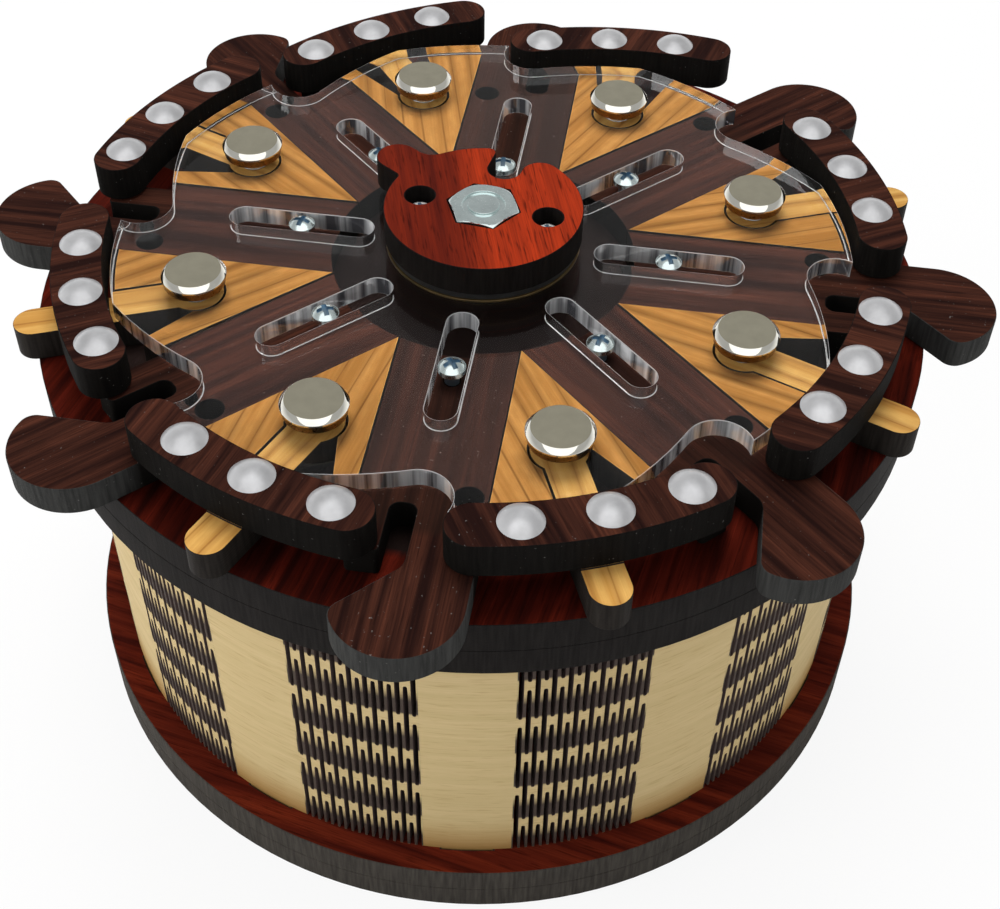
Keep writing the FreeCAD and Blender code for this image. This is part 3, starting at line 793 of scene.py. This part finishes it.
# %% Plates, wedges and cam
softened("base_lower_disc", red_base, width=0.35)
softened("base_upper_disc", red_base, width=0.35)
softened("rim_ring", red_lid)
softened("lid_plate", red_lid)
wedges = softened("maple_wedges", maple_wedge, width=0.15, outline="acrylic_cover")
softened("cam_plate", red_cam)
softened("cam_spacer", black)
softened("brass_washer", brass, width=0.05)
softened("centre_bolt", zinc, width=0.1)
print("nine plates; wedges with", len(wedges.data.polygons), "faces")

# %% [markdown]
# Each slider, block and finger is cut along its own direction, so each gets a board of its own
# with the grain turned that way. The sliders lie deepest under the cover and are painted darker
# there as painted shade, the front one and the one opposite darkest; the fingers get the usual
# share of that painted shade.

# %% Sliders and levers
SLIDER_SHADE = {1: 0.6, 5: 0.7}
USUAL_SHADE = 0.35


def slider_angle(number):
    return -90.0 + 45.0 * (number - 1)


def lever_angle(number):
    return -67.5 + 45.0 * (number - 1)


# A slider's charred edge is painted lighter than a block's, as painted light on grips that face the
# lamps, and within INNER_EDGE_R it is painted dark, partly soot and partly painted shade.
for n in range(1, 9):
    slider_wood = timber(f"dark_slider_{n}", edge=(0.050, 0.050, 0.048), angle=slider_angle(n),
                         inner_edge=(0.010, 0.009, 0.008), shade_under_cover=(0.020, 0.010, 0.007),
                         shade_under_cover_share=SLIDER_SHADE.get(n, USUAL_SHADE), seed=10.0 + n, **DARK)
    softened(f"slider_{n}", slider_wood)
    block_wood = timber(f"dark_block_{n}", edge=(0.009, 0.008, 0.007), angle=lever_angle(n) + 8.0,
                        seed=30.0 + n, **DARK)
    softened(f"arc_block_{n}", block_wood)
    finger_wood = timber(f"maple_finger_{n}", angle=lever_angle(n), seed=50.0 + n,
                         shade_under_cover=(0.020, 0.008, 0.002), shade_under_cover_share=USUAL_SHADE, **HONEY)
    softened(f"finger_{n}", finger_wood, width=0.12)
print("8 sliders, 8 blocks and 8 fingers")

# %% [markdown]
# The cover is one sheet of acrylic. Its faces, its laser-cut edges and its bevelled rims have a
# material each, and a face's normal tells which of the three it is.

# %% Acrylic cover
LEVEL = 0.98
UPRIGHT = 0.1

cover = softened("acrylic_cover", acrylic, width=0.16)
cover.data.materials.append(acrylic_edge)
cover.data.materials.append(acrylic_rim)
for face in cover.data.polygons:
    if abs(face.normal.z) < LEVEL:
        face.material_index = 1 if abs(face.normal.z) < UPRIGHT else 2
print("cover with", len(cover.data.polygons), "faces")

# %% [markdown]
# The drum is one strip of thin plywood. It bends round the base because panels of close slots
# make it flexible. Neighbouring columns of slots are offset by half a pitch, so that narrow
# bridges twist like springs. A slot narrows towards its ends, and its half width is worked out
# from the distance to the nearest bridge.

# %% Slots of a hinge panel
HEAD_Z = 82.5
PANEL_ANGLE = 17.6
COLUMNS = 17
SLOT_SHARE = 0.66
BRIDGE = 2.6
TAPERS = ((0.0, 0.45), (0.35, 0.80), (2.0, 0.92), (6.0, 1.0))
COLUMN_ANGLE = PANEL_ANGLE / COLUMNS
MANY = [FIRST_BRIDGE + BRIDGE_PITCH * n for n in range(3)]
FEW = [FIRST_BRIDGE + BRIDGE_PITCH * (n + 0.5) for n in range(2)]


def from_bridge(column, height):
    heights = MANY if column % 2 else FEW
    return min(abs(height - middle) for middle in heights) - BRIDGE / 2


def slot_half(column, height):
    away = from_bridge(column, height)
    share = TAPERS[0][1]
    for (near, low), (far, high) in zip(TAPERS, TAPERS[1:]):
        if away > near:
            share = low + (high - low) * min(1.0, (away - near) / (far - near))
    return share * COLUMN_ANGLE * SLOT_SHARE / 2


levels = {FOOT_Z, HEAD_Z}
for bridge_z in MANY + FEW:
    for taper in TAPERS:
        away = BRIDGE / 2 + taper[0]
        levels.update((round(bridge_z - away, 3), round(bridge_z + away, 3)))
levels = sorted(levels)
print(COLUMNS, "columns of slots on", len(levels), "levels")

# %% [markdown]
# One panel is a grid laid on the drum. Its points are moved to the edges of the slots, and the
# faces that fall into a slot are deleted. Solidify then thickens the sheet inwards, which makes
# the burnt slot walls too, with a material of their own. This is lighter than cutting each slot.

# %% Hinge panel
WALL = 4.0
ON_BRIDGE = 0.001
STRIPS = 2 * COLUMNS + 1
ACROSS = STRIPS + 1


def strip_angle(place, height):
    if place == 0:
        return -PANEL_ANGLE / 2
    if place == STRIPS:
        return PANEL_ANGLE / 2
    column = (place - 1) // 2
    half = slot_half(column, height)
    return (column + 0.5) * COLUMN_ANGLE - PANEL_ANGLE / 2 + (half if place % 2 == 0 else -half)


bpy.ops.mesh.primitive_grid_add(x_subdivisions=STRIPS, y_subdivisions=len(levels) - 1, size=2.0)
panel = bpy.context.active_object
panel.name = "hinge_panel"
for index, point in enumerate(panel.data.vertices):
    height = levels[index // ACROSS]
    angle = math.radians(strip_angle(index % ACROSS, height))
    point.co = Vector((DRUM_R * math.cos(angle), DRUM_R * math.sin(angle), height)) * MM
only(panel)
bpy.ops.object.mode_set(mode="EDIT")
bpy.ops.mesh.select_mode(type="FACE")
bpy.ops.mesh.select_all(action="DESELECT")
bpy.ops.object.mode_set(mode="OBJECT")
for index, face in enumerate(panel.data.polygons):
    row, strip = divmod(index, STRIPS)
    middle = (levels[row] + levels[row + 1]) / 2
    face.select = strip % 2 == 1 and from_bridge((strip - 1) // 2, middle) >= ON_BRIDGE
bpy.ops.object.mode_set(mode="EDIT")
bpy.ops.mesh.delete(type="FACE")
bpy.ops.object.mode_set(mode="OBJECT")
panel.data.materials.append(birch_hinge)
panel.data.materials.append(soot_wall)
sheet = panel.modifiers.new("sheet", "SOLIDIFY")
sheet.thickness = WALL * MM
sheet.offset = -1.0
sheet.material_offset_rim = 1
apply_modifier(panel, "sheet")
bpy.ops.object.mode_set(mode="EDIT")
bpy.ops.mesh.select_all(action="SELECT")
bpy.ops.mesh.normals_make_consistent(inside=False)
bpy.ops.object.mode_set(mode="OBJECT")
print("hinge panel with", len(panel.data.polygons), "faces")

# %% [markdown]
# Twelve copies of the panel go round the drum, each with its place in its own mesh, and are joined
# into one piece. The plain staves between them keep their CAD shape.

# %% Drum
PANELS = 12
FIRST_PANEL = -67.9
PANEL_SMOOTH = 30.0


def copied(master, move):
    copy = master.copy()
    copy.data = master.data.copy()
    copy.data.transform(move)
    bpy.context.scene.collection.objects.link(copy)
    return copy


def joined(pieces, name, smooth):
    bpy.ops.object.select_all(action="DESELECT")
    for piece in pieces:
        piece.select_set(True)
    bpy.context.view_layer.objects.active = pieces[0]
    if len(pieces) > 1:
        bpy.ops.object.join()
    whole = bpy.context.active_object
    whole.name = name
    bpy.ops.object.shade_smooth_by_angle(angle=math.radians(smooth))
    return whole


panels = [copied(panel, rotation(FIRST_PANEL + 360.0 / PANELS * n)) for n in range(PANELS)]
bpy.data.objects.remove(panel)
hinges = joined(panels, "drum_hinges_look", PANEL_SMOOTH)
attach(hinges, "box")
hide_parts("drum_hinges")
softened("drum_staves", birch, width=0.02, corner=60.0)
print("hinge panels with", len(hinges.data.polygons), "faces")

# %% [markdown]
# The caps and fasteners are turned parts: a round face is drawn up along a profile of radius and
# height, step by step, as a lathe would cut it. Each is made once, then copied to its places.

# %% Turning helpers
def turned_piece(name, profile, segments):
    radius, height = profile[0]
    bpy.ops.object.select_all(action="DESELECT")
    bpy.ops.mesh.primitive_circle_add(vertices=segments, radius=radius * MM, fill_type="NGON")
    piece = bpy.context.active_object
    piece.name = name
    bpy.ops.object.mode_set(mode="EDIT")
    bpy.ops.mesh.select_mode(type="FACE")
    bpy.ops.mesh.select_all(action="SELECT")
    bpy.ops.transform.translate(value=(0.0, 0.0, height * MM))
    for wide, high in profile[1:]:
        rise = (0.0, 0.0, (high - height) * MM)
        bpy.ops.mesh.extrude_region_move(TRANSFORM_OT_translate={"value": rise})
        bpy.ops.transform.resize(value=(wide / radius, wide / radius, 1.0))
        radius, height = wide, high
    bpy.ops.mesh.select_all(action="SELECT")
    bpy.ops.mesh.normals_make_consistent(inside=False)
    bpy.ops.object.mode_set(mode="OBJECT")
    return piece


def copies_at(master, node, places, material, spin=0.0, smooth=SMOOTH_ANGLE):
    moves = [Matrix.Translation(Vector(place) * MM) @ rotation(spin) for place in places]
    whole = joined([copied(master, move) for move in moves], node + "_look", smooth)
    if not whole.data.materials:
        whole.data.materials.append(None)
    whole.data.materials[0] = material
    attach(whole, body_of(node))
    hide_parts(node)


print("turning helpers ready")

# %% [markdown]
# A cap is a nickel disc over each lever's pivot. It stands on a narrow foot, painted dark as
# painted shade under the cap, and its upper edge is turned to a wide chamfer that is glossier than
# the face and painted brighter as painted highlight. The sloping faces are found by their normals,
# the foot by its height.

# %% Caps
CAP_FOOT = [(6.1, 0.0), (6.3, 1.6)]
CAP_SIDE = [(6.5, 1.75), (6.5, 2.1)]
CAP_CHAMFER = [(6.44, 2.2), (5.62, 3.0), (5.52, 3.06)]
CAP_SMOOTH = 15.0
SLOPE_FROM = 0.1
SLOPE_TO = 0.95
COVER_TOP_Z = 107.0
PIVOT_R = 59.0

cap = turned_piece("cap", CAP_FOOT + CAP_SIDE + CAP_CHAMFER, segments=64)
for finish in (nickel, bright_chamfer, shaded_foot):
    cap.data.materials.append(finish)
for face in cap.data.polygons:
    if SLOPE_FROM < face.normal.z < SLOPE_TO:
        face.material_index = 1
    elif face.center.z < CAP_FOOT[1][1] * MM:
        face.material_index = 2
pivots = [math.radians(lever_angle(n)) for n in range(1, 9)]
cap_places = [(PIVOT_R * math.cos(a), PIVOT_R * math.sin(a), COVER_TOP_Z) for a in pivots]
copies_at(cap, "disc_caps", cap_places, nickel, smooth=CAP_SMOOTH)
bpy.data.objects.remove(cap)
print(len(cap_places), "caps")

# %% [markdown]
# A rivet is a low dome. A screw has a shank or a straight side, a domed head and a cross recess,
# which two crossed bars cut out. The recess is darker than the head, because little light gets in.

# %% Rivet and screws
RIVET_DOME = (4.2, 1.85, 7)
SHANK = [(1.45, -2.8), (1.45, 0.0), (2.7, 0.0), (2.7, 1.0)]
SCREW_DOME = (2.6, 1.2, 4)
SUNK = [(2.3, 0.0), (2.3, 1.1)]
SUNK_DOME = (2.2, 0.9, 4)


def dome(radius, height, rings, base=0.0):
    ball = (radius ** 2 + height ** 2) / (2.0 * height)
    widest = math.asin(radius / ball)
    steps = [widest * (1.0 - n / (rings + 0.5)) for n in range(rings + 1)]
    return [(ball * math.sin(step), ball * math.cos(step) - ball + height + base) for step in steps]


def cross_recess(piece, length, width, top, depth):
    bpy.ops.object.select_all(action="DESELECT")
    bars = []
    for size in ((length, width, 2.0 * depth), (width, length, 2.0 * depth)):
        bpy.ops.mesh.primitive_cube_add(size=MM, location=(0.0, 0.0, top * MM))
        bpy.ops.transform.resize(value=size)
        bars.append(bpy.context.active_object)
    for bar in bars:
        cut = piece.modifiers.new("recess", "BOOLEAN")
        cut.object = bar
        cut.operation = "DIFFERENCE"
        apply_modifier(piece, "recess")
        bpy.data.objects.remove(bar)


def mark_recess(piece, radius, top):
    piece.data.materials.append(zinc)
    piece.data.materials.append(recess)
    for face in piece.data.polygons:
        inside = math.hypot(face.center.x, face.center.y) < radius * MM
        if inside and face.center.z < top * MM:
            face.material_index = 1


rivet = turned_piece("rivet", dome(*RIVET_DOME), segments=40)
screw = turned_piece("screw", SHANK + dome(*SCREW_DOME, base=SHANK[-1][1]), segments=32)
cross_recess(screw, length=3.4, width=1.0, top=2.2, depth=1.1)
mark_recess(screw, radius=1.75, top=1.75)
cam_screw = turned_piece("cam_screw", SUNK + dome(*SUNK_DOME, base=SUNK[-1][1]), segments=32)
cross_recess(cam_screw, length=2.6, width=0.8, top=2.0, depth=0.8)
mark_recess(cam_screw, radius=1.35, top=1.6)
print("rivet and two kinds of screw")

# %% [markdown]
# Rivets ride on the levers and screws on the sliders and the cam. In the photograph two levers are
# swung, one slider is pushed in and the cam is turned back a little, so their fasteners are placed
# with them. Every slider screw stopped at another angle when it was driven in.

# %% Rivets and screws in their places
LEVER_SWUNG = {4: 27.0, 5: 14.5}
SLIDER_PUSHED = {5: 10.4}
CAM_BACK = 6.3
RIVET_R = 80.9
RIVET_ANGLES = (-9.1, 1.9, 12.8)
SCREW_R = 38.2
CAM_SCREW_R = 13.4
ARC_TOP_Z = 110.7
SCREW_HEAD_Z = 105.5
CAM_HOLE_Z = 111.2
SCREW_SPIN = 37.0
CAM_SCREW_SPIN = 20.0


def on_lever(number, radius, angle, height):
    pivot = Vector((PIVOT_R, 0.0, 0.0))
    spot = rotation(angle) @ Vector((radius, 0.0, 0.0)) - pivot
    spot = rotation(LEVER_SWUNG.get(number, 0.0)) @ spot + pivot
    spot = rotation(lever_angle(number)) @ spot
    return spot.x, spot.y, height


def on_spoke(angle, radius, height):
    spot = rotation(angle) @ Vector((radius, 0.0, 0.0))
    return spot.x, spot.y, height


for n in range(1, 9):
    rivet_places = [on_lever(n, RIVET_R, angle, ARC_TOP_Z) for angle in RIVET_ANGLES]
    copies_at(rivet, f"rivets_{n}", rivet_places, aluminium)
    screw_r = SCREW_R - SLIDER_PUSHED.get(n, 0.0)
    screw_place = on_spoke(slider_angle(n), screw_r, SCREW_HEAD_Z)
    copies_at(screw, f"slider_screw_{n}", [screw_place], zinc, spin=SCREW_SPIN * n)
# The cam screws get the lighter zinc, painted light in their dark holes.
cam_places = [on_spoke(angle - CAM_BACK, CAM_SCREW_R, CAM_HOLE_Z) for angle in (0.0, 180.0)]
copies_at(cam_screw, "cam_screws", cam_places, painted_light_zinc, spin=CAM_SCREW_SPIN)
for master in (rivet, screw, cam_screw):
    bpy.data.objects.remove(master)
print("24 rivets, 8 slider screws and 2 cam screws")

# %% [markdown]
# What lies inside the lid and stays as it is in the CAD model only needs its finish.

# %% Plain inner parts
def finish_node(node, material):
    mesh = NODES[node].data
    mesh.materials.clear()
    mesh.materials.append(material)


for node in ("pivot_posts", "hub_bush", "bar_washer", "bar_nut"):
    finish_node(node, zinc)
finish_node("lock_bar", birch)
print("five inner parts finished")
